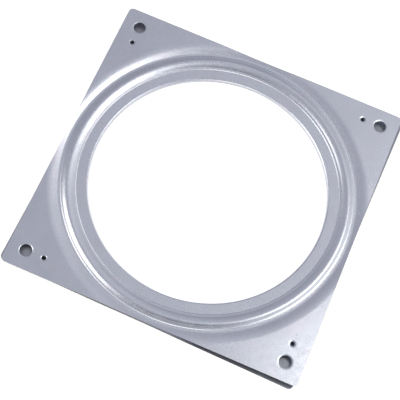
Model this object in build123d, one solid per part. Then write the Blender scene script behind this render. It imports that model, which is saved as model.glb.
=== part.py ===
from build123d import *
import math
import os

# A square swivel bearing: two stamped sheet plates with a ring of loose steel balls between them.
# Sizes are in millimetres and angles in degrees. Z is up, the bearing's axis is X = Y = 0, and
# z = 0 is the surface on which the lower plate's flat corners lie.

# Overall sizes
plate_side = 305.0
bearing_height = 8.0
sheet = 1.0
corner_radius = 4.5
rest_turn = 1.1

# Balls
ball_diameter = 5.556
ball_count = 36
ball_play = 0.05

# Stamped race, as seen on the outer face of either plate
race_inset = 12.8
crown_radius = 8.8
flank_angle = 20.0
shoulder_angle = 10.5
shoulder_width = 4.1
shoulder_radius = 20.0
outer_shelf_depth = 1.15
inner_shelf_depth = 1.64

# Narrow shelf and small step at the foot of either flank
shelf_width = 1.9
shelf_angle = 8.0
shelf_radius = 3.0
step_height = 0.5
step_angle = 40.0
step_edge_radius = 1.2
step_foot_radius = 0.5

# Ramp from the outer step up to the flat corners
ramp_foot_width = 2.4
ramp_foot_angle = 2.0
ramp_foot_radius = 8.0
ramp_angle = 13.5
ramp_edge_radius = 35.0

# Band between the inner step and the flange, which slopes down towards the opening
band_width = 11.8
band_angle = 2.2

# Flange of the upper plate: rim, wall and the lip curled under the lower plate
rim_radius = 2.2
curl_radius = 1.4
curl_floor_gap = 0.3
lip_width = 8.5
lip_gap = 0.3
margin_gap = 0.4

# Holes in the flat corners
access_hole_diameter = 12.5
access_hole_inset = 18.3
screw_hole_diameter = 4.7
screw_hole_offset = 18.9
base_hole_turn = 5.0


def rise(width, angle):
    """Return how much a slope rises over a level width."""
    return width * math.tan(math.radians(angle))


def run(height, angle):
    """Return the level width over which a slope rises by a height."""
    return height / math.tan(math.radians(angle))


# Race, from its middle: the crown's flanks would meet at the apex if it weren't rounded
half_side = plate_side / 2
race_radius = half_side - race_inset
race_depth = (bearing_height - ball_diameter) / 2 - sheet - ball_play
half_turn = math.radians(flank_angle + shoulder_angle) / 2
crown_lean = math.radians(flank_angle - shoulder_angle) / 2
apex_reach = crown_radius / math.cos(half_turn)
apex_place = race_radius + apex_reach * math.sin(crown_lean)
apex_depth = race_depth + crown_radius - apex_reach * math.cos(crown_lean)

# Outwards from the apex
outer_shelf_place = apex_place + run(outer_shelf_depth - apex_depth, flank_angle)
outer_edge_place = outer_shelf_place + shelf_width
outer_edge_depth = outer_shelf_depth + rise(shelf_width, shelf_angle)
outer_foot_place = outer_edge_place + run(step_height, step_angle)
outer_foot_depth = outer_edge_depth + step_height
ramp_foot_place = outer_foot_place + ramp_foot_width
ramp_foot_depth = outer_foot_depth - rise(ramp_foot_width, ramp_foot_angle)
ramp_edge_place = ramp_foot_place + run(ramp_foot_depth, ramp_angle)
plate_corner_reach = half_side * math.sqrt(2) + sheet

# Inwards from the apex
shoulder_place = race_radius - shoulder_width
shoulder_depth = apex_depth + rise(apex_place - shoulder_place, shoulder_angle)
inner_shelf_place = shoulder_place - run(inner_shelf_depth - shoulder_depth, flank_angle)
inner_edge_place = inner_shelf_place - shelf_width
inner_edge_depth = inner_shelf_depth + rise(shelf_width, shelf_angle)
inner_foot_place = inner_edge_place - run(step_height, step_angle)
band_depth = inner_edge_depth + step_height
wall_radius = inner_foot_place - band_width

# Holes
hole_place = half_side - access_hole_inset
access_hole_reach = hole_place * math.sqrt(2)


def race_points():
    """Return the outer face of a stamped plate as (radius, depth), from outside in, and its radii."""
    points = [
        (plate_corner_reach, 0),
        (ramp_edge_place, 0),
        (ramp_foot_place, ramp_foot_depth),
        (outer_foot_place, outer_foot_depth),
        (outer_edge_place, outer_edge_depth),
        (outer_shelf_place, outer_shelf_depth),
        (apex_place, apex_depth),
        (shoulder_place, shoulder_depth),
        (inner_shelf_place, inner_shelf_depth),
        (inner_edge_place, inner_edge_depth),
        (inner_foot_place, band_depth),
    ]
    radii = [
        ramp_edge_radius,
        ramp_foot_radius,
        step_foot_radius,
        step_edge_radius,
        shelf_radius,
        crown_radius,
        shoulder_radius,
        shelf_radius,
        step_edge_radius,
        step_foot_radius,
    ]
    return points, radii


def band_point(radius):
    """Return the point of the band's outer face at a radius."""
    return radius, band_depth + rise(inner_foot_place - radius, band_angle)


def flange_points():
    """Return the rest of the upper plate's outer face: the rim, the wall and the curled lip."""
    curl_depth = bearing_height - curl_floor_gap
    lip_depth = bearing_height - band_depth + lip_gap + sheet
    points = [
        band_point(wall_radius),
        (wall_radius, curl_depth),
        (wall_radius + lip_width, lip_depth),
    ]
    return points, [rim_radius, curl_radius]


def inner_face(points, radii):
    """Return the sheet's inner face: each corner moved in by the thickness, each fillet to match."""
    directions = [(b - a).normalized() for a, b in zip(points, points[1:])]
    normals = [Vector(-direction.Y, direction.X) for direction in directions]
    moved = [points[0] + normals[0] * sheet]
    moved_radii = []
    for corner, radius, before, after in zip(points[1:], radii, normals, normals[1:]):
        moved.append(corner + (before + after) * (sheet / (1 + before.dot(after))))
        turns_inwards = before.cross(after).Z > 0
        moved_radii.append(radius - sheet if turns_inwards else radius + sheet)
    moved.append(points[-1] + normals[-1] * sheet)
    return moved, moved_radii


def stamped_sheet(face_points, radii):
    """Revolve an outer face line, given as (radius, depth), into a sheet with its outside on top."""
    outer = [Vector(radius, -depth) for radius, depth in face_points]
    inner, inner_radii = inner_face(outer, radii)
    with BuildPart() as stamped:
        with BuildSketch(Plane.XZ):
            with BuildLine():
                FilletPolyline(*outer, radius=radii)
                FilletPolyline(*inner, radius=inner_radii)
                Line(outer[0], inner[0])
                Line(outer[-1], inner[-1])
            make_face()
        revolve(axis=Axis.Z)
    return stamped.part


def square_blank():
    """Return a tall square bar with the plates' rounded corners, which trims a revolved sheet."""
    with BuildPart() as blank:
        with BuildSketch(Plane.XY.offset(-bearing_height)):
            RectangleRounded(plate_side, plate_side, corner_radius)
        extrude(amount=2 * bearing_height)
    return blank.part


def corner_holes(places, diameter):
    """Return one cylinder for each hole, long enough to pass through a plate."""
    with BuildPart() as holes:
        with Locations(*places):
            Cylinder(diameter / 2, 4 * bearing_height)
    return holes.part


def quarter_turns(x, y):
    """Return the four places that a point takes when the plate is turned by quarter turns."""
    return [(x, y), (-y, x), (-x, -y), (y, -x)]


def make_upper_plate():
    """Make the upper plate, with its outer flats at the bearing's full height."""
    race, race_radii = race_points()
    flange, flange_radii = flange_points()
    plate = stamped_sheet(race + flange, race_radii + flange_radii)
    plate = plate & square_blank()
    plate -= corner_holes(quarter_turns(hole_place, hole_place), access_hole_diameter)
    plate -= corner_holes(quarter_turns(hole_place - screw_hole_offset, hole_place), screw_hole_diameter)
    return Pos(0, 0, bearing_height) * Rot(0, 0, rest_turn) * plate


def make_lower_plate():
    """Make the lower plate: the same stamping turned over, cut short inside to clear the flange.

    Its screw holes lie as far out as the access holes, which pass over them as the bearing turns.
    """
    race, race_radii = race_points()
    margin_radius = wall_radius + curl_radius + margin_gap
    plate = stamped_sheet(race + [band_point(margin_radius)], race_radii)
    plate = plate & square_blank()
    first_angle = math.radians(45 + base_hole_turn)
    first_hole = (access_hole_reach * math.cos(first_angle), access_hole_reach * math.sin(first_angle))
    plate -= corner_holes(quarter_turns(*first_hole), screw_hole_diameter)
    return Rot(180, 0, 0) * plate


def make_ball(number):
    """Make one ball of the ring, at rest in its place between the two races."""
    ball = Pos(race_radius, 0, bearing_height / 2) * Sphere(ball_diameter / 2)
    return Rot(0, 0, number * 360 / ball_count) * ball


os.makedirs("parts", exist_ok=True)
export_step(make_upper_plate(), "parts/upper_plate.step")
export_step(make_lower_plate(), "parts/lower_plate.step")
for ball_number in range(ball_count):
    export_step(make_ball(ball_number), f"parts/ball_{ball_number + 1:02d}.step")
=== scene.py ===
"""Dresses a square swivel bearing: two galvanised plates, a ring of steel balls, and a plain studio."""

import logging
import math
from abc import ABC, abstractmethod
from dataclasses import dataclass, field
from enum import Enum

import bmesh
import bpy
from mathutils import Matrix, Quaternion, Vector

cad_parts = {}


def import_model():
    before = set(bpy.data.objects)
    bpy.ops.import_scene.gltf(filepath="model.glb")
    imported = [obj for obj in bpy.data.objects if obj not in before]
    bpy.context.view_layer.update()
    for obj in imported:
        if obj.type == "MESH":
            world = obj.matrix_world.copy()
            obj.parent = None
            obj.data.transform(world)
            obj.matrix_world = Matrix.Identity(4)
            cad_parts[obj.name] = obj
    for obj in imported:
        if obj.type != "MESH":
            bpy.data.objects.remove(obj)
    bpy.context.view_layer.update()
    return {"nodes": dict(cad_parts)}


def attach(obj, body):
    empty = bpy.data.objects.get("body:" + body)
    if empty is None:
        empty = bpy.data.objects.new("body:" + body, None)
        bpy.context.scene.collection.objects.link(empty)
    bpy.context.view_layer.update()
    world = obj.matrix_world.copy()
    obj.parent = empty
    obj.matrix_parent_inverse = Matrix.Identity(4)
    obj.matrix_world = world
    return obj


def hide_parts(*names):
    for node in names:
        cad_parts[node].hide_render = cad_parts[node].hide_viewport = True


log = logging.getLogger("bearing")

MM = 0.001

Colour = tuple[float, float, float]
Paint = tuple[float, float, float, float]
WHITE: Paint = (1.0, 1.0, 1.0, 1.0)


class Mixing(Enum):
    """Ways in which one colour is laid over another."""

    PLAIN = "MIX"
    DARKEN = "MULTIPLY"


class Cutting(Enum):
    """Ways in which a cutter changes a plate."""

    KEEP_INSIDE = "INTERSECT"
    TAKE_AWAY = "DIFFERENCE"


class Signal:
    """A value in a shader, on which ordinary arithmetic adds Math nodes."""

    def __init__(self, shader: "Shader", socket: bpy.types.NodeSocket) -> None:
        """Keep the shader that owns the value, and the socket that gives it.

        Args:
            shader: The material or world whose nodes are being joined.
            socket: The output that carries the value.
        """
        self.shader = shader
        self.socket = socket

    def _math(self, operation: str, *values: "Signal | float", clamp: bool = False) -> "Signal":
        """Add a Math node.

        Args:
            operation: The node's operation.
            values: Its inputs, in order.
            clamp: Whether the result is kept from 0 to 1.

        Returns:
            The node's result.
        """
        settings = {"operation": operation, "use_clamp": clamp}
        return self.shader.add("ShaderNodeMath", settings, dict(enumerate(values)))

    def __add__(self, other: "Signal | float") -> "Signal":
        """Return the sum."""
        return self._math("ADD", self, other)

    def __radd__(self, other: float) -> "Signal":
        """Return the sum."""
        return self._math("ADD", other, self)

    def __sub__(self, other: "Signal | float") -> "Signal":
        """Return the difference."""
        return self._math("SUBTRACT", self, other)

    def __rsub__(self, other: float) -> "Signal":
        """Return a number less this value."""
        return self._math("SUBTRACT", other, self)

    def __mul__(self, other: "Signal | float") -> "Signal":
        """Return the product."""
        return self._math("MULTIPLY", self, other)

    def __rmul__(self, other: float) -> "Signal":
        """Return the product."""
        return self._math("MULTIPLY", other, self)

    def __truediv__(self, other: "Signal | float") -> "Signal":
        """Return the quotient."""
        return self._math("DIVIDE", self, other)

    def __abs__(self) -> "Signal":
        """Return the size of the value without its sign."""
        return self._math("ABSOLUTE", self)

    def root(self) -> "Signal":
        """Return the square root."""
        return self._math("SQRT", self)

    def clamped(self) -> "Signal":
        """Return the value kept from 0 to 1."""
        return self._math("ADD", self, 0.0, clamp=True)

    def centred(self) -> "Signal":
        """Return soft noise moved so that it lies evenly round 0."""
        return self._math("SUBTRACT", self, 0.5)

    def rising(self, low: float, high: float) -> "Signal":
        """Return 0 up to low, 1 from high on, and a straight rise between."""
        return ((self - low) / (high - low)).clamped()

    def falling(self, low: float, high: float) -> "Signal":
        """Return 1 up to low, 0 from high on, and a straight fall between."""
        return 1 - self.rising(low, high)


class Shader:
    """Builds the nodes of one material or world."""

    # Where a Mix node keeps the sockets that it uses for colours.
    MIX_FACTOR = 0
    MIX_UNDER = 6
    MIX_OVER = 7
    MIX_RESULT = 2

    def __init__(self, tree: bpy.types.NodeTree) -> None:
        """Start from an empty node tree.

        Args:
            tree: The tree of a material or world.
        """
        self.tree = tree
        self.tree.nodes.clear()

    @classmethod
    def of_material(cls, name: str) -> tuple["Shader", bpy.types.Material]:
        """Make a material and the shader that fills it.

        Args:
            name: The material's name.

        Returns:
            The shader and its material.
        """
        material = bpy.data.materials.new(name)
        material.use_nodes = True
        return cls(material.node_tree), material

    def node(
        self, kind: str, settings: dict[str, object], values: dict[int | str, object]
    ) -> bpy.types.Node:
        """Add a node.

        Args:
            kind: The node's type.
            settings: Its own properties, set before its sockets are filled.
            values: A number, colour, Signal or output for each socket, by name or place.

        Returns:
            The node.
        """
        node = self.tree.nodes.new(kind)
        for name, setting in settings.items():
            setattr(node, name, setting)
        for name, value in values.items():
            socket = node.inputs[name]
            if isinstance(value, Signal):
                self.tree.links.new(value.socket, socket)
            elif isinstance(value, bpy.types.NodeSocket):
                self.tree.links.new(value, socket)
            else:
                socket.default_value = value
        return node

    def add(
        self,
        kind: str,
        settings: dict[str, object],
        values: dict[int | str, object],
        output: int | str = 0,
    ) -> Signal:
        """Add a node and return one of its outputs as a value.

        Args:
            kind: The node's type.
            settings: Its own properties.
            values: What fills its sockets.
            output: The output wanted, by name or place.

        Returns:
            That output.
        """
        return Signal(self, self.node(kind, settings, values).outputs[output])

    def place(self) -> bpy.types.NodeSocket:
        """Return the point on the object, in metres."""
        return self.node("ShaderNodeTexCoord", {}, {}).outputs["Object"]

    def parts_of(self, vector: bpy.types.NodeSocket) -> tuple[Signal, Signal, Signal]:
        """Split a vector into its three values."""
        split = self.node("ShaderNodeSeparateXYZ", {}, {"Vector": vector})
        return tuple(Signal(self, output) for output in split.outputs)

    def vector(self, x: Signal | float, y: Signal | float, z: Signal | float) -> bpy.types.NodeSocket:
        """Join three values into a vector."""
        return self.node("ShaderNodeCombineXYZ", {}, {"X": x, "Y": y, "Z": z}).outputs["Vector"]

    def noise(self, vector: bpy.types.NodeSocket, scale: float, detail: float = 2.0) -> Signal:
        """Return soft noise from about 0.3 to 0.7.

        Args:
            vector: Where the noise is read.
            scale: Its cells to a metre.
            detail: How many finer layers it has.

        Returns:
            The noise.
        """
        values = {"Vector": vector, "Scale": scale, "Detail": detail}
        return self.add("ShaderNodeTexNoise", {}, values, "Fac")

    def crystals(self, vector: bpy.types.NodeSocket, scale: float) -> Signal:
        """Return one value from 0 to 1 for each crystal of a zinc coat.

        Args:
            vector: Where the crystals are read.
            scale: How many there are to a metre.

        Returns:
            The value.
        """
        values = {"Vector": vector, "Scale": scale, "Randomness": 1.0}
        cells = self.node("ShaderNodeTexVoronoi", {"feature": "F1"}, values)
        return self.parts_of(cells.outputs["Color"])[0]

    def mixed(
        self,
        factor: Signal | float,
        under: Paint | bpy.types.NodeSocket,
        over: Paint | bpy.types.NodeSocket,
        mixing: Mixing = Mixing.PLAIN,
    ) -> bpy.types.NodeSocket:
        """Lay one colour over another.

        Args:
            factor: How much of the second colour shows.
            under: The first colour.
            over: The second colour.
            mixing: How the second is laid on.

        Returns:
            The output that carries the colour.
        """
        settings = {"data_type": "RGBA", "blend_type": mixing.value}
        values = {self.MIX_FACTOR: factor, self.MIX_UNDER: under, self.MIX_OVER: over}
        return self.node("ShaderNodeMix", settings, values).outputs[self.MIX_RESULT]

    def bumped(self, height: Signal, distance: float) -> bpy.types.NodeSocket:
        """Return the surface's normal, tilted by a height.

        Args:
            height: The height, from 0 to 1.
            distance: What a height of 1 is, in metres.

        Returns:
            The output that carries the normal.
        """
        values = {"Height": height, "Distance": distance}
        return self.node("ShaderNodeBump", {}, values).outputs["Normal"]

    def finish_with(self, surface: bpy.types.Node) -> None:
        """Join a surface shader to the tree's output."""
        self.node("ShaderNodeOutputMaterial", {}, {"Surface": surface.outputs[0]})


def opaque(colour: Colour) -> Paint:
    """Return a colour with full alpha, as sockets want it."""
    return (*colour, 1.0)


def direction(azimuth: float, tilt: float) -> Vector:
    """Return the way that lies at an angle round from X and another down from straight up.

    Args:
        azimuth: The angle round from X, in degrees.
        tilt: The angle down from Z, in degrees.

    Returns:
        A vector of length 1.
    """
    round_angle, tilt_angle = math.radians(azimuth), math.radians(tilt)
    level = math.sin(tilt_angle)
    return Vector((math.cos(round_angle) * level, math.sin(round_angle) * level, math.cos(tilt_angle)))


@dataclass(frozen=True)
class GalvanisedSteel:
    """Sheet with a cloudy zinc coat, dark sheared edges, drawing marks where it was stamped, and painted
    shade on the upright walls inside the edge.

    Scales are in cells to a metre, and a depth says how far a pattern moves the shade.
    """

    name: str
    colour: Colour = (0.626, 0.643, 0.748)
    dull_colour: Colour = (0.538, 0.553, 0.645)
    # Painted shade for the upright faces inside the sheared edge, chiefly the flange's inner wall.
    painted_wall_shade: Colour = (0.440, 0.452, 0.515)
    warm_tint: Colour = (1.000, 0.985, 0.985)
    cool_tint: Colour = (0.975, 1.000, 0.990)
    edge_colour: Colour = (0.170, 0.172, 0.190)
    dullness: float = 0.35
    cloud_scale: float = 34.0
    cloud_detail: float = 3.0
    cloud_depth: float = 1.1
    mottle_scale: float = 190.0
    mottle_depth: float = 0.9
    crystal_scale: float = 520.0
    crystal_depth: float = 0.05
    stain_scale: float = 55.0
    stain_detail: float = 1.0
    stain_shift: float = 0.4
    stain_range: tuple[float, float] = (0.38, 0.62)
    rolled_scale: float = 1100.0
    rolled_stretch: float = 0.35
    drawn_scale: float = 1400.0
    drawn_stretch: float = 0.02
    grain_depth: float = 0.5
    roughness: float = 0.25
    rough_grain: float = 0.05
    rough_mottle: float = 0.14
    rough_edge: float = 0.2
    relief_height: float = 0.0026 * MM
    relief_grain: float = 0.3
    relief_mottle: float = 0.7
    upright_range: tuple[float, float] = (0.15, 0.5)
    drawn_from: float = 119.0 * MM
    drawn_to: float = 159.0 * MM
    drawn_margin: float = 4.0 * MM
    cut_from: float = 150.0 * MM
    cut_margin: float = 1.0 * MM

    def material(self) -> bpy.types.Material:
        """Build the material.

        Returns:
            The new material.
        """
        shader, material = Shader.of_material(self.name)
        place = shader.place()
        x, y, z = shader.parts_of(place)
        reach = (x * x + y * y).root()
        mottle = shader.noise(place, self.mottle_scale)
        grain = self._grain(shader, x, y, z, reach)
        upright = self._upright(shader)
        outside = reach.rising(self.cut_from, self.cut_from + self.cut_margin)
        sheared = upright * outside

        zinc = self._zinc(shader, place, mottle, grain)
        # Upright faces inside the sheared edge, chiefly the flange's inner wall, take a darker colour:
        # painted shade.
        drawn = shader.mixed(upright * (1 - outside), zinc, opaque(self.painted_wall_shade))
        rough = self.roughness + grain.centred() * self.rough_grain
        rough = rough + mottle.centred() * self.rough_mottle + sheared * self.rough_edge
        relief = grain * self.relief_grain + mottle * self.relief_mottle
        values = {
            "Base Color": shader.mixed(sheared, drawn, opaque(self.edge_colour)),
            "Metallic": 1.0,
            "Roughness": rough,
            "Normal": shader.bumped(relief, self.relief_height),
        }
        shader.finish_with(shader.node("ShaderNodeBsdfPrincipled", {}, values))
        return material

    def _zinc(
        self, shader: Shader, place: bpy.types.NodeSocket, mottle: Signal, grain: Signal
    ) -> bpy.types.NodeSocket:
        """Return the colour of the flat zinc, from bright to dull and from cool to warm.

        Args:
            shader: The material's shader.
            place: The point on the sheet.
            mottle: The fine mottle.
            grain: The fine grain.

        Returns:
            The output that carries the colour.
        """
        x, y, z = shader.parts_of(place)
        clouds = shader.noise(place, self.cloud_scale, self.cloud_detail)
        crystals = shader.crystals(place, self.crystal_scale)
        shade = clouds.centred() * self.cloud_depth + mottle.centred() * self.mottle_depth
        shade = shade + crystals.centred() * self.crystal_depth + grain.centred() * self.grain_depth
        shade = (shade + self.dullness).clamped()
        zinc = shader.mixed(shade, opaque(self.colour), opaque(self.dull_colour))

        shifted = shader.vector(x + self.stain_shift, y, z)
        stains = shader.noise(shifted, self.stain_scale, self.stain_detail)
        tint = shader.mixed(stains.rising(*self.stain_range), opaque(self.cool_tint), opaque(self.warm_tint))
        return shader.mixed(1.0, zinc, tint, Mixing.DARKEN)

    def _upright(self, shader: Shader) -> Signal:
        """Return 1 on upright faces and 0 on level ones."""
        normal = shader.node("ShaderNodeNewGeometry", {}, {}).outputs["Normal"]
        return abs(shader.parts_of(normal)[2]).falling(*self.upright_range)

    def _grain(self, shader: Shader, x: Signal, y: Signal, z: Signal, reach: Signal) -> Signal:
        """Return the sheet's fine grain, which runs round the axis where the sheet was drawn.

        Args:
            shader: The material's shader.
            x: The point's x.
            y: The point's y.
            z: The point's height.
            reach: Its distance from the axis.

        Returns:
            Soft noise from about 0.3 to 0.7.
        """
        along_sheet = shader.vector(x * self.rolled_stretch, y, z)
        round_axis = shader.vector(reach, x * self.drawn_stretch, y * self.drawn_stretch)
        rolled = shader.noise(along_sheet, self.rolled_scale)
        drawn = shader.noise(round_axis, self.drawn_scale)
        in_race = reach.rising(self.drawn_from, self.drawn_from + self.drawn_margin)
        in_race = in_race * reach.falling(self.drawn_to - self.drawn_margin, self.drawn_to)
        return rolled * (1 - in_race) + drawn * in_race


@dataclass(frozen=True)
class PolishedSteel:
    """Hard ground steel with a few fine marks."""

    name: str
    colour: Colour = (0.640, 0.645, 0.660)
    smeared_colour: Colour = (0.512, 0.516, 0.528)
    smear_scale: float = 700.0
    smear_detail: float = 3.0
    roughness: float = 0.10
    rough_smear: float = 0.12
    mark_scale: float = 5000.0
    mark_height: float = 0.0005 * MM

    def material(self) -> bpy.types.Material:
        """Build the material.

        Returns:
            The new material.
        """
        shader, material = Shader.of_material(self.name)
        place = shader.place()
        smears = shader.noise(place, self.smear_scale, self.smear_detail)
        marks = shader.noise(place, self.mark_scale)
        values = {
            "Base Color": shader.mixed(smears, opaque(self.colour), opaque(self.smeared_colour)),
            "Metallic": 1.0,
            "Roughness": self.roughness + smears * self.rough_smear,
            "Normal": shader.bumped(marks, self.mark_height),
        }
        shader.finish_with(shader.node("ShaderNodeBsdfPrincipled", {}, values))
        return material


@dataclass(frozen=True)
class PaleFloor:
    """Matt white board that reads as plain white wherever the object's shadow doesn't fall."""

    name: str
    colour: Colour = (0.86, 0.86, 0.86)
    roughness: float = 0.85
    rough_grain: float = 0.1
    grain_scale: float = 900.0
    glow: float = 0.45

    def material(self) -> bpy.types.Material:
        """Build the material.

        Returns:
            The new material.
        """
        shader, material = Shader.of_material(self.name)
        rays = shader.node("ShaderNodeLightPath", {}, {}).outputs
        seen = Signal(shader, rays["Is Camera Ray"])
        seen = seen + Signal(shader, rays["Is Glossy Ray"])
        seen = seen + Signal(shader, rays["Is Transmission Ray"])
        grain = shader.noise(shader.place(), self.grain_scale)
        matt = {"Base Color": opaque(self.colour), "Roughness": self.roughness + grain * self.rough_grain}
        board = shader.node("ShaderNodeBsdfPrincipled", {}, matt)
        white = {"Color": WHITE, "Strength": seen.clamped() * self.glow}
        light = shader.node("ShaderNodeEmission", {}, white)
        both = {0: board.outputs[0], 1: light.outputs[0]}
        shader.finish_with(shader.node("ShaderNodeAddShader", {}, both))
        return material


def rise(width: float, angle: float) -> float:
    """Return how much a slope rises over a level width."""
    return width * math.tan(math.radians(angle))


def level_run(height: float, angle: float) -> float:
    """Return the level width over which a slope rises by a height."""
    return height / math.tan(math.radians(angle))


@dataclass(frozen=True)
class Corner:
    """A corner of a section line, in millimetres from the axis and down from the plate's face."""

    reach: float
    depth: float
    fillet: float = 0.0

    def point(self) -> Vector:
        """Return the corner in the section's plane, with up positive."""
        return Vector((self.reach, -self.depth))


@dataclass(frozen=True)
class Stamping:
    """Sizes of the section, blank and holes, in millimetres and degrees, as the CAD part has them."""

    side: float = 305.0
    height: float = 8.0
    sheet: float = 1.0
    corner_radius: float = 4.5
    ball: float = 5.556
    ball_play: float = 0.05
    race_inset: float = 12.8
    crown_radius: float = 8.8
    flank_angle: float = 20.0
    shoulder_angle: float = 10.5
    shoulder_width: float = 4.1
    shoulder_radius: float = 20.0
    outer_shelf_depth: float = 1.15
    inner_shelf_depth: float = 1.64
    shelf_width: float = 1.9
    shelf_angle: float = 8.0
    shelf_radius: float = 3.0
    step_height: float = 0.5
    step_angle: float = 40.0
    step_edge_radius: float = 1.2
    step_foot_radius: float = 0.5
    ramp_foot_width: float = 2.4
    ramp_foot_angle: float = 2.0
    ramp_foot_radius: float = 8.0
    ramp_angle: float = 13.5
    ramp_edge_radius: float = 35.0
    band_width: float = 11.8
    band_angle: float = 2.2
    rim_radius: float = 2.2
    curl_radius: float = 1.4
    curl_floor_gap: float = 0.3
    lip_width: float = 8.5
    lip_gap: float = 0.3
    margin_gap: float = 0.4
    access_hole: float = 12.5
    access_hole_inset: float = 18.3
    screw_hole: float = 4.7
    screw_hole_offset: float = 18.9
    base_hole_turn: float = 5.0
    rest_turn: float = 1.1

    def race_reach(self) -> float:
        """Return the radius of the middle of the race."""
        return self.side / 2 - self.race_inset

    def apex(self) -> Corner:
        """Return the corner at which the crown's two slopes would meet.

        Returns:
            The corner, with the crown's radius as its fillet.
        """
        race_depth = (self.height - self.ball) / 2 - self.sheet - self.ball_play
        half_turn = math.radians(self.flank_angle + self.shoulder_angle) / 2
        lean = math.radians(self.flank_angle - self.shoulder_angle) / 2
        distance = self.crown_radius / math.cos(half_turn)
        reach = self.race_reach() + distance * math.sin(lean)
        return Corner(reach, race_depth + self.crown_radius - distance * math.cos(lean), self.crown_radius)

    def outer_corners(self) -> list[Corner]:
        """Return the corners from the plate's outside in to the crown.

        Returns:
            The plate's end, the ramp's edge and foot, the small step and the shelf.
        """
        apex = self.apex()
        shelf = apex.reach + level_run(self.outer_shelf_depth - apex.depth, self.flank_angle)
        edge = shelf + self.shelf_width
        edge_depth = self.outer_shelf_depth + rise(self.shelf_width, self.shelf_angle)
        foot = edge + level_run(self.step_height, self.step_angle)
        foot_depth = edge_depth + self.step_height
        ramp_foot = foot + self.ramp_foot_width
        ramp_foot_depth = foot_depth - rise(self.ramp_foot_width, self.ramp_foot_angle)
        ramp_edge = ramp_foot + level_run(ramp_foot_depth, self.ramp_angle)
        return [
            Corner(self.side / 2 * math.sqrt(2) + self.sheet, 0.0),
            Corner(ramp_edge, 0.0, self.ramp_edge_radius),
            Corner(ramp_foot, ramp_foot_depth, self.ramp_foot_radius),
            Corner(foot, foot_depth, self.step_foot_radius),
            Corner(edge, edge_depth, self.step_edge_radius),
            Corner(shelf, self.outer_shelf_depth, self.shelf_radius),
        ]

    def inner_corners(self) -> list[Corner]:
        """Return the corners from the crown in to the foot of the small step.

        Returns:
            The shoulder, the shelf, and the step's edge and foot.
        """
        apex = self.apex()
        shoulder = self.race_reach() - self.shoulder_width
        shoulder_depth = apex.depth + rise(apex.reach - shoulder, self.shoulder_angle)
        shelf = shoulder - level_run(self.inner_shelf_depth - shoulder_depth, self.flank_angle)
        edge = shelf - self.shelf_width
        foot = edge - level_run(self.step_height, self.step_angle)
        return [
            Corner(shoulder, shoulder_depth, self.shoulder_radius),
            Corner(shelf, self.inner_shelf_depth, self.shelf_radius),
            Corner(edge, self.band_depth() - self.step_height, self.step_edge_radius),
            Corner(foot, self.band_depth(), self.step_foot_radius),
        ]

    def race_corners(self) -> list[Corner]:
        """Return the corners from the plate's outside to the inner step."""
        return self.outer_corners() + [self.apex()] + self.inner_corners()

    def band_depth(self) -> float:
        """Return the band's depth at the small step."""
        shelf_fall = rise(self.shelf_width, self.shelf_angle)
        return self.inner_shelf_depth + shelf_fall + self.step_height

    def band_corner(self, reach: float, fillet: float = 0.0) -> Corner:
        """Return a corner on the band, which slopes down towards the opening.

        Args:
            reach: The corner's distance from the axis.
            fillet: Its fillet.

        Returns:
            The corner.
        """
        step_foot = self.inner_corners()[-1].reach
        return Corner(reach, self.band_depth() + rise(step_foot - reach, self.band_angle), fillet)

    def wall_reach(self) -> float:
        """Return the radius of the flange's wall."""
        return self.inner_corners()[-1].reach - self.band_width

    def flange_corners(self) -> list[Corner]:
        """Return the rest of the upper plate's corners, from the band on.

        Returns:
            The rim, the curl at the wall's foot and the lip's end.
        """
        wall = self.wall_reach()
        lip_depth = self.height - self.band_depth() + self.lip_gap + self.sheet
        return [
            self.band_corner(wall, self.rim_radius),
            Corner(wall, self.height - self.curl_floor_gap, self.curl_radius),
            Corner(wall + self.lip_width, lip_depth),
        ]

    def margin_corner(self) -> Corner:
        """Return the end of the lower plate's inner margin."""
        return self.band_corner(self.wall_reach() + self.curl_radius + self.margin_gap)


@dataclass(frozen=True)
class SectionLine:
    """A face of the sheet, drawn as runs between rounded corners."""

    corners: list[Corner]
    degrees_a_facet: float = 3.0

    def points(self) -> list[Vector]:
        """Round each corner with a short row of points.

        Returns:
            The line's points, in millimetres.
        """
        places = [corner.point() for corner in self.corners]
        line = [places[0]]
        for index in range(1, len(places) - 1):
            line += self._arc(places[index - 1], places[index], places[index + 1], self.corners[index].fillet)
        return line + [places[-1]]

    def _arc(self, before: Vector, corner: Vector, after: Vector, fillet: float) -> list[Vector]:
        """Return the points of one fillet.

        Args:
            before: The corner before it.
            corner: The corner that is rounded.
            after: The corner after it.
            fillet: Its radius.

        Returns:
            The points from one tangent point to the other.
        """
        inwards = (corner - before).normalized()
        outwards = (after - corner).normalized()
        turn = inwards.angle_signed(outwards)
        start = corner - inwards * fillet * math.tan(abs(turn) / 2)
        side = Vector((inwards.y, -inwards.x)) * math.copysign(1, turn)
        centre = start + side * fillet
        facets = max(2, math.ceil(math.degrees(abs(turn)) / self.degrees_a_facet))
        spoke = start - centre
        return [centre + Matrix.Rotation(-turn * step / facets, 2) @ spoke for step in range(facets + 1)]

    def parallel(self, distance: float) -> "SectionLine":
        """Return the sheet's other face.

        Args:
            distance: The sheet's thickness.

        Returns:
            The same line, moved in by the thickness, with its fillets to match.
        """
        places = [corner.point() for corner in self.corners]
        runs = [(after - before).normalized() for before, after in zip(places, places[1:])]
        normals = [Vector((-run.y, run.x)) for run in runs]
        ways = [normals[0]] + normals + [normals[-1]]
        moved = []
        for corner, place, before, after in zip(self.corners, places, ways, ways[1:]):
            shifted = place + (before + after) * (distance / (1 + before.dot(after)))
            bend = before.x * after.y - before.y * after.x
            fillet = corner.fillet - math.copysign(distance, bend) if corner.fillet else 0.0
            moved.append(Corner(shifted.x, -shifted.y, fillet))
        return SectionLine(moved, self.degrees_a_facet)


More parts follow.
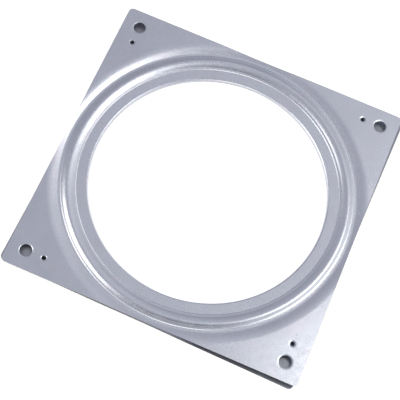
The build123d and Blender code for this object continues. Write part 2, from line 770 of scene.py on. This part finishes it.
def mesh_object(name: str, shape: bmesh.types.BMesh) -> bpy.types.Object:
    """Turn a built shape into an object in the scene.

    Args:
        name: The object's name.
        shape: The shape, which is used up.

    Returns:
        The object.
    """
    bmesh.ops.recalc_face_normals(shape, faces=shape.faces)
    mesh = bpy.data.meshes.new(name)
    shape.to_mesh(mesh)
    shape.free()
    made = bpy.data.objects.new(name, mesh)
    bpy.context.scene.collection.objects.link(made)
    return made


def turned(name: str, section: list[Vector], columns: int) -> bpy.types.Object:
    """Turn a closed section once round the Z axis.

    Args:
        name: The object's name.
        section: The section's points, as distance from the axis and height, in millimetres.
        columns: How many times the section is repeated.

    Returns:
        The closed ring.
    """
    shape = bmesh.new()
    rings = []
    for column in range(columns):
        angle = 2 * math.pi * column / columns
        way = Vector((math.cos(angle), math.sin(angle), 0))
        rings.append([shape.verts.new((way * point.x + Vector((0, 0, point.y))) * MM) for point in section])
    for ring, following in zip(rings, rings[1:] + rings[:1]):
        for index in range(len(section)):
            beyond = (index + 1) % len(section)
            shape.faces.new((ring[index], ring[beyond], following[beyond], following[index]))
    return mesh_object(name, shape)


def prism(name: str, outline: list[Vector], half_height: float) -> bpy.types.Object:
    """Make an upright prism on the middle plane.

    Args:
        name: The object's name.
        outline: Its outline, in millimetres.
        half_height: How far it reaches up and down, in millimetres.

    Returns:
        The closed prism.
    """
    shape = bmesh.new()
    low = [shape.verts.new(Vector((point.x, point.y, -half_height)) * MM) for point in outline]
    high = [shape.verts.new(Vector((point.x, point.y, half_height)) * MM) for point in outline]
    shape.faces.new(low)
    shape.faces.new(high)
    for index in range(len(outline)):
        beyond = (index + 1) % len(outline)
        shape.faces.new((low[index], low[beyond], high[beyond], high[index]))
    return mesh_object(name, shape)


def rounded_square(side: float, radius: float, facets: int = 10) -> list[Vector]:
    """Return the outline of a square with rounded corners.

    Args:
        side: The square's side.
        radius: Its corners' radius.
        facets: The straight pieces of each corner.

    Returns:
        The outline's points.
    """
    outline = []
    for quarter in range(4):
        middle = Matrix.Rotation(math.pi / 2 * quarter, 2) @ Vector((1, 1)) * (side / 2 - radius)
        for step in range(facets + 1):
            angle = math.pi / 2 * (quarter + step / facets)
            outline.append(middle + Vector((math.cos(angle), math.sin(angle))) * radius)
    return outline


def disc(middle: Vector, diameter: float, facets: int) -> list[Vector]:
    """Return the outline of a round hole."""
    angles = (2 * math.pi * step / facets for step in range(facets))
    return [middle + Vector((math.cos(angle), math.sin(angle))) * diameter / 2 for angle in angles]


def gathered(name: str, parts: list[bpy.types.Object]) -> bpy.types.Object:
    """Join several shapes into one object.

    Args:
        name: The new object's name.
        parts: The shapes, which are used up.

    Returns:
        The joined object.
    """
    shape = bmesh.new()
    for part in parts:
        shape.from_mesh(part.data)
        bpy.data.objects.remove(part)
    return mesh_object(name, shape)


def cut(target: bpy.types.Object, cutter: bpy.types.Object, cutting: Cutting) -> None:
    """Cut an object with another, which is then removed.

    Args:
        target: The object that is cut.
        cutter: The closed shape that cuts it.
        cutting: What stays.
    """
    modifier = target.modifiers.new("cut", "BOOLEAN")
    modifier.object = cutter
    modifier.operation = cutting.value
    modifier.solver = "EXACT"
    settle(target)
    bpy.data.objects.remove(cutter)


def smooth(target: bpy.types.Object, sharp_angle: float) -> None:
    """Shade the bends smoothly, keep sharp edges, and keep flats flat up to their ends.

    Args:
        target: The object that is shaded.
        sharp_angle: The bend, in degrees, from which an edge is sharp.
    """
    target.data.shade_smooth()
    target.data.set_sharp_from_angle(angle=math.radians(sharp_angle))
    modifier = target.modifiers.new("flats", "WEIGHTED_NORMAL")
    modifier.mode = "FACE_AREA"
    modifier.keep_sharp = True
    settle(target)


def settle(target: bpy.types.Object) -> None:
    """Make the result of an object's modifiers its mesh.

    Args:
        target: The object.
    """
    result = target.evaluated_get(bpy.context.evaluated_depsgraph_get())
    mesh = bpy.data.meshes.new_from_object(result)
    target.modifiers.clear()
    target.data = mesh


@dataclass(frozen=True)
class HoleRim:
    """The rounding that the punch leaves round a hole, in millimetres. The CAD part has none."""

    width: float = 2.2
    drop: float = 0.26
    inner_overlap: float = 0.1
    outer_overlap: float = 0.01
    facets: int = 6

    def cutter(self, middle: Vector, diameter: float, height: float, columns: int) -> bpy.types.Object:
        """Make the shape that takes away what the punch has drawn down.

        Args:
            middle: The hole's middle.
            diameter: The hole's diameter.
            height: How far the shape stands up from the sheet.
            columns: How many facets it has round the hole.

        Returns:
            A ring over the hole's edge, whose underside dips towards the hole.
        """
        inside = diameter / 2 - self.inner_overlap
        width = self.width + self.inner_overlap
        section = [Vector((inside, height)), Vector((inside + width, height))]
        for step in range(self.facets + 1):
            share = step / self.facets
            drop = (self.drop + self.outer_overlap) * share**2 - self.outer_overlap
            section.append(Vector((inside + width * (1 - share), -drop)))
        ring = turned("rim", section, columns)
        ring.data.transform(Matrix.Translation(middle.to_3d() * MM))
        return ring


@dataclass
class Plate(ABC):
    """One stamped plate, remade with fine facets in the form of its CAD node."""

    sizes: Stamping
    finish: GalvanisedSteel
    node: str
    body: str
    slot: str
    placing: Matrix
    rim: HoleRim = HoleRim()
    columns: int = 288
    hole_columns: int = 60
    sharp_angle: float = 30.0

    @abstractmethod
    def corners(self) -> list[Corner]:
        """Return the corners of the plate's outer face."""

    @abstractmethod
    def hole_places(self) -> list[tuple[float, float, float]]:
        """Return the first of each four holes, as x, y and diameter in millimetres."""

    def holes(self) -> list[tuple[Vector, float]]:
        """Return the middle and diameter of every hole, in millimetres, before the plate is placed."""
        turns = [Matrix.Rotation(math.pi / 2 * quarter, 2) for quarter in range(4)]
        return [(turn @ Vector((x, y)), diameter) for x, y, diameter in self.hole_places() for turn in turns]

    def build(self) -> bpy.types.Object:
        """Make the plate in the way that it is pressed.

        Returns:
            The plate, dressed and riding on its body.
        """
        plate = self._stamped()
        self._punch(plate)
        plate.data.transform(self.placing)
        smooth(plate, self.sharp_angle)
        plate.data.materials.clear()
        plate.data.materials.append(self.finish.material())
        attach(plate, self.body)
        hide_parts(self.node)
        return plate

    def _stamped(self) -> bpy.types.Object:
        """Turn the section round the axis and trim it to the square blank.

        Returns:
            The plate without its holes.
        """
        sizes = self.sizes
        outer = SectionLine(self.corners())
        section = outer.points() + outer.parallel(sizes.sheet).points()[::-1]
        plate = turned(f"{self.node}_sheet", section, self.columns)
        square = rounded_square(sizes.side, sizes.corner_radius)
        cut(plate, prism("blank", square, 2 * sizes.height), Cutting.KEEP_INSIDE)
        return plate

    def _punch(self, plate: bpy.types.Object) -> None:
        """Punch the holes, and round the rim of each.

        Args:
            plate: The stamped plate, before it is placed.
        """
        sizes, columns, holes = self.sizes, self.hole_columns, self.holes()
        punches = [prism("punch", disc(middle, width, columns), 2 * sizes.height) for middle, width in holes]
        rims = [self.rim.cutter(middle, width, sizes.sheet, columns) for middle, width in holes]
        cut(plate, gathered("punches", punches), Cutting.TAKE_AWAY)
        cut(plate, gathered("rims", rims), Cutting.TAKE_AWAY)


@dataclass
class UpperPlate(Plate):
    """The upper plate, with access holes and the flange curled under the lower plate."""

    def corners(self) -> list[Corner]:
        """Return the race's corners and the flange's."""
        return self.sizes.race_corners() + self.sizes.flange_corners()

    def hole_places(self) -> list[tuple[float, float, float]]:
        """Find the upper plate's holes.

        Returns:
            The first screw hole and the first access hole.
        """
        sizes = self.sizes
        place = sizes.side / 2 - sizes.access_hole_inset
        return [
            (place - sizes.screw_hole_offset, place, sizes.screw_hole),
            (place, place, sizes.access_hole),
        ]


@dataclass
class LowerPlate(Plate):
    """The lower plate, whose inner margin the flange holds."""

    def corners(self) -> list[Corner]:
        """Return the race's corners and the margin's end."""
        return self.sizes.race_corners() + [self.sizes.margin_corner()]

    def hole_places(self) -> list[tuple[float, float, float]]:
        """Find the lower plate's holes.

        Returns:
            The first screw hole, as far out as the access holes and turned off the diagonal.
        """
        sizes = self.sizes
        reach = (sizes.side / 2 - sizes.access_hole_inset) * math.sqrt(2)
        angle = math.radians(45 + sizes.base_hole_turn)
        return [(reach * math.cos(angle), reach * math.sin(angle), sizes.screw_hole)]


@dataclass
class BallRing:
    """The loose balls, which are the CAD's own spheres with a ground finish."""

    nodes: dict[str, bpy.types.Object]
    finish: PolishedSteel

    def dress(self) -> list[bpy.types.Object]:
        """Give every ball the finish.

        Returns:
            The balls.
        """
        material = self.finish.material()
        balls = [node for name, node in self.nodes.items() if name.startswith("ball_")]
        for ball in balls:
            ball.data.materials.clear()
            ball.data.materials.append(material)
        return balls


@dataclass(frozen=True)
class SoftBox:
    """A square lamp that faces the object, placed by its direction from it."""

    name: str
    azimuth: float
    tilt: float
    distance: float
    size: float
    power: float
    colour: Colour = (1.0, 0.975, 0.86)

    def build(self, target: Vector) -> bpy.types.Object:
        """Hang the lamp.

        Args:
            target: The point that it faces.

        Returns:
            The lamp.
        """
        way = direction(self.azimuth, self.tilt)
        lamp = bpy.data.lights.new(self.name, "AREA")
        lamp.shape = "SQUARE"
        lamp.size = self.size
        lamp.energy = self.power
        lamp.color = self.colour
        hung = bpy.data.objects.new(self.name, lamp)
        hung.location = target + way * self.distance
        hung.rotation_euler = way.to_track_quat("Z", "Y").to_euler()
        bpy.context.scene.collection.objects.link(hung)
        return hung


@dataclass(frozen=True)
class Viewpoint:
    """The photograph's camera, given by the point that it aims at and where it stands from there."""

    aim: tuple[float, float, float] = (-1.96 * MM, -17.16 * MM, 8.0 * MM)
    azimuth: float = -77.32
    elevation: float = 67.99
    distance: float = 1.1638
    roll: float = 12.1
    lens: float = 106.44
    sensor: float = 36.0
    nearest: float = 0.01

    def build(self) -> bpy.types.Object:
        """Set up the camera.

        Returns:
            The camera.
        """
        way = direction(self.azimuth, 90 - self.elevation)
        view = bpy.data.cameras.new("camera")
        view.lens = self.lens
        view.sensor_width = self.sensor
        view.clip_start = self.nearest
        camera = bpy.data.objects.new("camera", view)
        camera.location = Vector(self.aim) + way * self.distance
        rolled = Quaternion((0, 0, 1), math.radians(self.roll))
        camera.rotation_euler = (way.to_track_quat("Z", "Y") @ rolled).to_euler()
        bpy.context.scene.collection.objects.link(camera)
        bpy.context.scene.camera = camera
        return camera


@dataclass(frozen=True)
class Glow:
    """A soft patch of the surround, placed by its direction from the object."""

    azimuth: float
    tilt: float
    core: float
    reach: float
    strength: float

    def light(self, shader: Shader, way: bpy.types.NodeSocket) -> Signal:
        """Return the light that the patch adds in a direction.

        Args:
            shader: The world's shader.
            way: The direction.

        Returns:
            Its strength within the core, falling to nothing at the reach.
        """
        values = {0: way, 1: direction(self.azimuth, self.tilt)}
        nearness = shader.add("ShaderNodeVectorMath", {"operation": "DOT_PRODUCT"}, values, "Value")
        edge, core = math.cos(math.radians(self.reach)), math.cos(math.radians(self.core))
        return nearness.rising(edge, core) * self.strength


@dataclass
class Studio:
    """A white floor, a pale uneven surround and two soft boxes."""

    floor_finish: PaleFloor
    tint: Colour = (0.980, 0.995, 1.065)
    glow_tint: Colour = (1.000, 0.975, 0.860)
    overhead: float = 0.50
    horizon: float = 0.42
    floor_side: float = 6.0
    floor_drop: float = 0.05 * MM
    glows: list[Glow] = field(
        default_factory=lambda: [
            Glow(azimuth=213.0, tilt=82.0, core=15.0, reach=50.0, strength=1.3),
            Glow(azimuth=62.0, tilt=94.0, core=14.0, reach=33.0, strength=1.8),
            Glow(azimuth=4.0, tilt=60.0, core=14.0, reach=48.0, strength=0.75),
            Glow(azimuth=-80.0, tilt=49.0, core=10.0, reach=27.0, strength=1.8),
            Glow(azimuth=72.0, tilt=33.0, core=6.0, reach=28.0, strength=0.25),
            Glow(azimuth=-78.0, tilt=22.0, core=8.0, reach=20.0, strength=-0.34),
        ]
    )
    lamps: list[SoftBox] = field(
        default_factory=lambda: [
            SoftBox("left_box", azimuth=197.0, tilt=34.0, distance=5.0, size=2.2, power=44.0),
            SoftBox("right_box", azimuth=43.0, tilt=21.0, distance=5.0, size=1.4, power=20.5),
        ]
    )

    def build(self) -> None:
        """Lay the floor, fill the surround and hang the lamps."""
        self._lay_floor()
        self._fill_surround()
        for lamp in self.lamps:
            lamp.build(Vector((0.0, 0.0, 0.0)))
        bpy.context.scene.view_settings.view_transform = "Standard"

    def _lay_floor(self) -> None:
        """Lay the floor a hair below the lower plate's flats."""
        shape = bmesh.new()
        bmesh.ops.create_grid(shape, x_segments=1, y_segments=1, size=self.floor_side / 2)
        floor = mesh_object("floor", shape)
        floor.location.z = -self.floor_drop
        floor.data.materials.append(self.floor_finish.material())

    def _fill_surround(self) -> None:
        """Fill the world with a pale grey and its brighter and darker patches."""
        world = bpy.data.worlds.new("surround")
        world.use_nodes = True
        bpy.context.scene.world = world
        shader = Shader(world.node_tree)
        way = shader.node("ShaderNodeTexCoord", {}, {}).outputs["Generated"]
        height = shader.parts_of(way)[2].clamped()
        plain = height * (self.overhead - self.horizon) + self.horizon
        light = plain
        for glow in self.glows:
            light = light + glow.light(shader, way)
        glowing = (light - plain).clamped()
        colour = shader.mixed(glowing, opaque(self.tint), opaque(self.glow_tint))
        background = shader.node("ShaderNodeBackground", {}, {"Color": colour, "Strength": light})
        shader.node("ShaderNodeOutputWorld", {}, {"Surface": background.outputs[0]})


def main() -> None:
    """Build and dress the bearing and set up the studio."""
    logging.basicConfig(level=logging.INFO, format="%(name)s: %(message)s")
    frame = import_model()

    sizes = Stamping()
    lifted = Matrix.Translation((0, 0, sizes.height * MM))
    lifted = lifted @ Matrix.Rotation(math.radians(sizes.rest_turn), 4, "Z")
    turned_over = Matrix.Rotation(math.pi, 4, "X")
    upper_zinc = GalvanisedSteel("upper_zinc")
    # The lower plate is the same galvanised steel as the upper one. Its colours are darkened here as painted
    # shade, for the shade it lies in under the upper plate.
    lower_zinc_painted_shade = GalvanisedSteel(
        "lower_zinc_painted_shade",
        colour=(0.315, 0.325, 0.388),
        dull_colour=(0.236, 0.243, 0.292),
        painted_wall_shade=(0.236, 0.243, 0.292),
        edge_colour=(0.165, 0.168, 0.186),
        roughness=0.42,
    )
    pieces = [
        UpperPlate(sizes, upper_zinc, "upper_plate", "upper", "upper_sheet", lifted).build(),
        LowerPlate(sizes, lower_zinc_painted_shade, "lower_plate", "lower", "lower_sheet", turned_over).build(),
    ]
    pieces += BallRing(frame["nodes"], PolishedSteel("ground_steel")).dress()
    for piece in pieces:
        log.info("%s has %d faces", piece.name, len(piece.data.polygons))
    Studio(PaleFloor("white_board")).build()
    Viewpoint().build()


if __name__ == "__main__":
    main()
